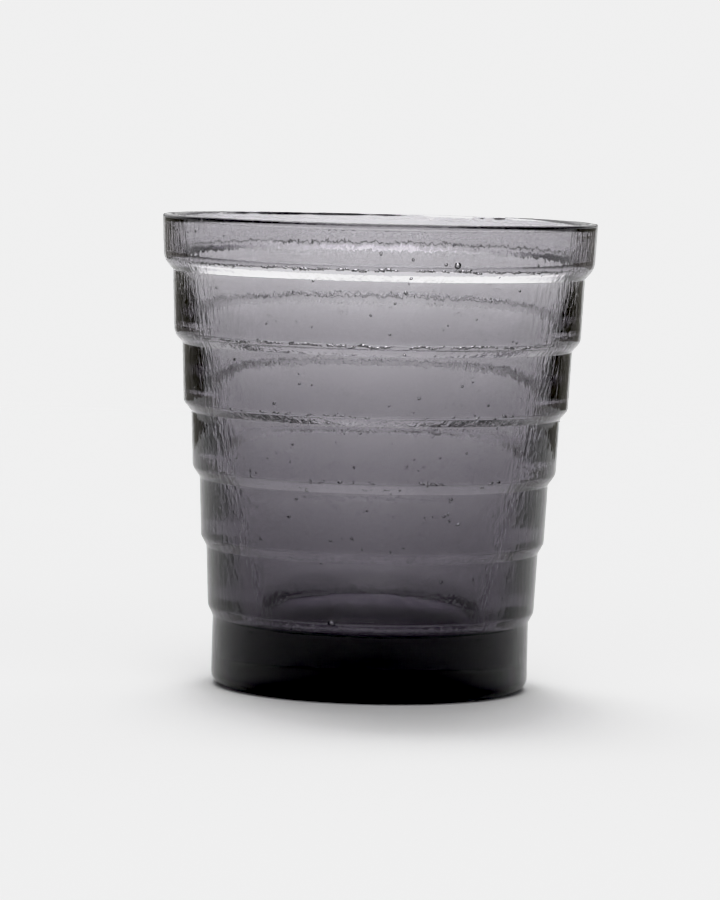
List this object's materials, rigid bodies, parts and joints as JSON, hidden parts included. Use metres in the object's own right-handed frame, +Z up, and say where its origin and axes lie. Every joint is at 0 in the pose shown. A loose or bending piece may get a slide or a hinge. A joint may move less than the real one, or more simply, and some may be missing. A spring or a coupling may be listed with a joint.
{
  "type": "whiskey tumbler",
  "caption": "Short, wide-mouthed drinking glass of pressed smoke-grey glass, widening upward in stepped bands over a thick solid base.",
  "frame": {"origin": "centre of the base, on the plane the standing ring rests on", "axes": "+Z up along the tumbler's axis, towards the mouth"},
  "size_m": [0.0834, 0.0834, 0.09],
  "materials": {
    "smoke_glass": "glossy transparent pressed glass, smoke grey with a faint violet cast, small seeds and chill lines"
  },
  "bodies": {
    "root": {"tumbler": "smoke_glass"}
  },
  "joints": []
}
